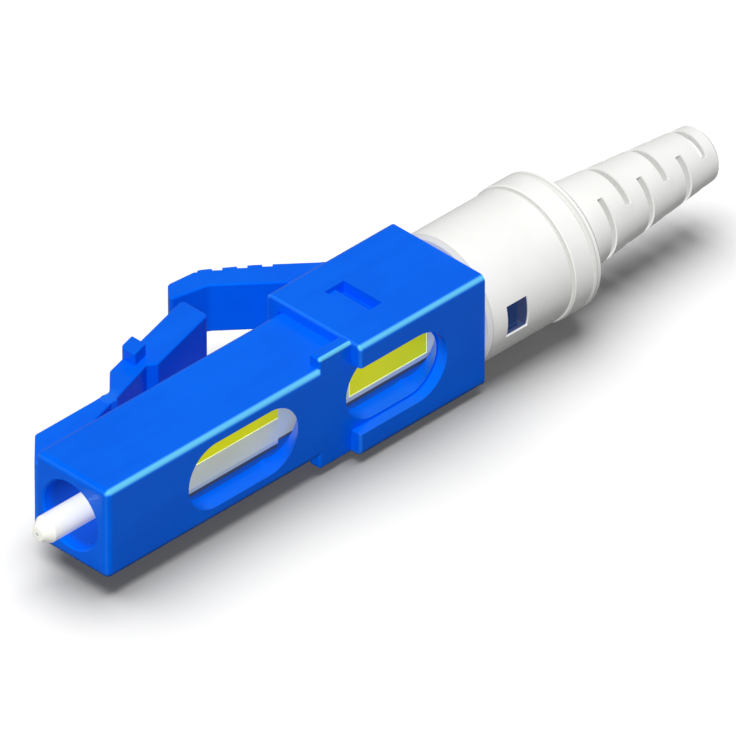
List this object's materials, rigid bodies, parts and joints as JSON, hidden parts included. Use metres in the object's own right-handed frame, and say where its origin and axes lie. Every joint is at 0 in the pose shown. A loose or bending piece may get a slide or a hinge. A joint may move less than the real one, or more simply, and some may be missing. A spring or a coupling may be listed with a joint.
{
  "type": "lc fibre connector",
  "caption": "Field-assembly LC fibre-optic plug: square nose with ceramic ferrule, latch and trigger, splice windows, round boot sleeve and slotted strain relief.",
  "frame": {"origin": "on the ferrule's axis, at the front face of the plug housing", "axes": "+X runs back along the ferrule's axis to the boot, +Y points to the latch, +Z to one side, the other side being the one it lies on"},
  "size_m": [0.0394, 0.0111, 0.0064],
  "materials": {
    "blue_housing": "blue moulded plastic, satin gloss",
    "blue_latch": "blue moulded plastic, satin gloss",
    "zirconia": "white polished zirconia",
    "glass_fibre": "bare silica fibre",
    "flange_metal": "turned metal",
    "grey_splice": "light grey moulded plastic",
    "yellow_lid": "yellow moulded plastic",
    "spring_steel": "bright spring steel",
    "collet_plastic": "grey moulded plastic",
    "white_sleeve": "white moulded plastic",
    "white_relief": "white flexible moulded plastic"
  },
  "bodies": {
    "housing": {"plug_housing": "blue_housing", "rear_housing": "blue_housing", "cord_collet": "collet_plastic", "boot_sleeve": "white_sleeve", "strain_relief": "white_relief", "ferrule_spring": "spring_steel"},
    "latch": {"latch_arm": "blue_latch"},
    "trigger": {"trigger_lever": "blue_latch"},
    "ferrule_carrier": {"ferrule": "zirconia", "fibre_stub": "glass_fibre", "ferrule_flange": "flange_metal", "splice_base": "grey_splice", "fibre_lid": "yellow_lid", "buffer_lid": "yellow_lid", "fibre_clip": "spring_steel", "buffer_clip": "spring_steel"}
  },
  "joints": [
    {"name": "trigger_press", "type": "hinge", "parent": "housing", "child": "trigger", "pos_m": [0.01908, 0.00362, 0], "axis": [0, 0, 1], "range_deg": [0, 16], "stiffness_Nm_per_rad": 0.02},
    {"name": "latch_flex", "type": "hinge", "parent": "housing", "child": "latch", "pos_m": [0.00535, 0.00318, 0], "axis": [0, 0, -1], "range_deg": [0, 10]},
    {"name": "ferrule_float", "type": "slide", "parent": "housing", "child": "ferrule_carrier", "axis": [1, 0, 0], "range_m": [0, 0.0006], "stiffness_N_per_m": 1000, "springref_m": -0.004, "deforming": ["ferrule_spring"]}
  ],
  "couplings": [
    {"joint": "latch_flex", "follows": "trigger_press", "ratio": 0.6}
  ]
}
